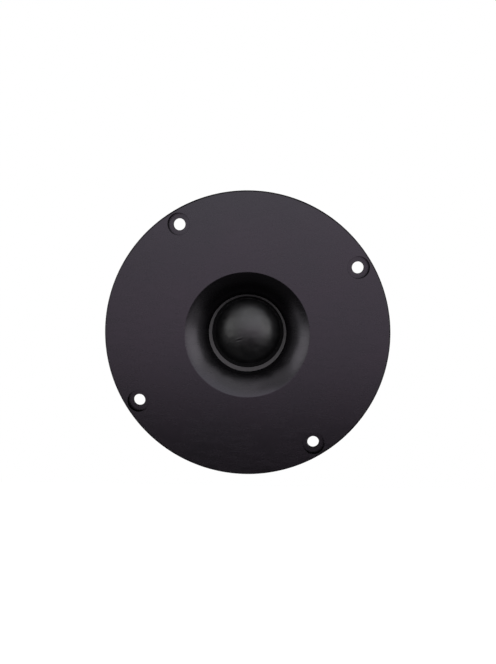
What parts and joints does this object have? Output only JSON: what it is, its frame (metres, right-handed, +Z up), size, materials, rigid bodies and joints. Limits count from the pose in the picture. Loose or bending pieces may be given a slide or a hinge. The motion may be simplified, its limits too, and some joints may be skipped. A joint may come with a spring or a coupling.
{
  "type": "soft dome tweeter",
  "caption": "Round flush-mount soft-dome tweeter: black aluminium faceplate with a waveguide, fabric dome on a moving coil, ferrite ring motor and a sealed rear chamber.",
  "frame": {"origin": "centre of the mounting-hole circle, in the plane of the flange's rear face", "axes": "-Y is the way the tweeter faces and the dome moves out, +Z is up with the terminals below, +X is to the right seen from the front"},
  "size_m": [0.104, 0.047, 0.104],
  "materials": {
    "black_anodised": "matt black anodised aluminium, very finely turned",
    "grey_anodised": "dark grey satin anodised aluminium",
    "dome_fabric": "black fabric with a soft damping coat",
    "black_plastic": "glass-filled black plastic with a fine moulded grain",
    "black_foam": "closed-cell black foam rubber",
    "grey_foam": "closed-cell dark grey foam rubber",
    "former_film": "amber polyimide film",
    "copper_wire": "enamelled copper wire",
    "tinsel_wire": "fine braided copper",
    "solder": "soft solder",
    "tinned_brass": "brass blade with a thin tin plate",
    "rivet_brass": "brass rivet",
    "zinc_plated_steel": "clear zinc plate on steel",
    "pole_steel": "turned steel",
    "pin_steel": "ground steel",
    "black_screw": "black-oxide steel screw",
    "ferrite": "sintered dark grey ferrite",
    "copper": "bare copper",
    "wool_felt": "grey wool felt",
    "open_foam": "open-cell grey foam"
  },
  "bodies": {
    "chassis": {"faceplate": "black_anodised", "flange_gasket": "black_foam", "throat_ring": "grey_anodised", "diaphragm_carrier": "black_plastic", "carrier_gasket": "grey_foam", "surround": "dome_fabric", "lead_out_positive": "tinsel_wire", "lead_out_negative": "tinsel_wire", "solder_joints": "solder", "terminal_positive": "tinned_brass", "terminal_negative": "tinned_brass", "terminal_rivets": "rivet_brass", "top_plate": "zinc_plated_steel", "locating_pins": "pin_steel", "motor_screws": "black_screw", "magnet": "ferrite", "back_plate": "zinc_plated_steel", "pole_piece": "pole_steel", "copper_cap": "copper", "pole_felt": "wool_felt", "vent_plug": "open_foam", "rear_chamber": "black_plastic", "rear_chamber_gasket": "grey_foam", "rear_chamber_foam": "open_foam", "rear_chamber_screws": "black_screw"},
    "diaphragm": {"dome": "dome_fabric", "coil_former": "former_film", "voice_coil": "copper_wire"}
  },
  "joints": [
    {"name": "dome_travel", "type": "slide", "parent": "chassis", "child": "diaphragm", "axis": [0, -1, 0], "range_m": [-0.0005, 0.0005], "stiffness_N_per_m": 9000, "deforming": ["surround", "lead_out_positive", "lead_out_negative"]}
  ]
}
